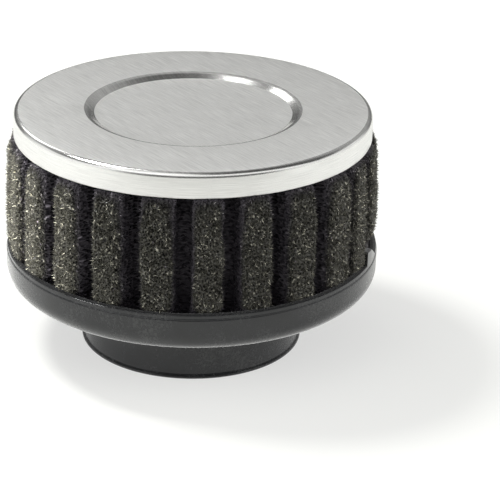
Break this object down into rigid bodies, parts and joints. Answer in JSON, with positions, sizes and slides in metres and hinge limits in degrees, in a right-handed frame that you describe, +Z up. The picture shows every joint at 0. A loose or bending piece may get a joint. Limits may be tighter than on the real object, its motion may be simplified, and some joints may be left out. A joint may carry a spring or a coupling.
{
  "type": "air filter",
  "caption": "Round clamp-on air filter with a moulded rubber base and neck, a pleated foam element on wire mesh and a pressed aluminium end cap.",
  "frame": {"origin": "centre of the neck's open end, at the lowest face", "axes": "+Z up along the neck's axis, towards the end cap; -Y is the side that the picture shows"},
  "size_m": [0.0904, 0.0904, 0.059],
  "materials": {
    "rubber": "moulded, satin black",
    "resin": "cast, smooth black",
    "mesh": "drawn wire, woven",
    "foam": "open-cell reticulated foam, dark grey-brown",
    "aluminium": "brushed and lacquered"
  },
  "bodies": {
    "root": {"base": "rubber", "base_resin": "resin", "wire_mesh": "mesh", "foam_element": "foam", "cap_resin": "resin", "end_cap": "aluminium"}
  },
  "joints": []
}
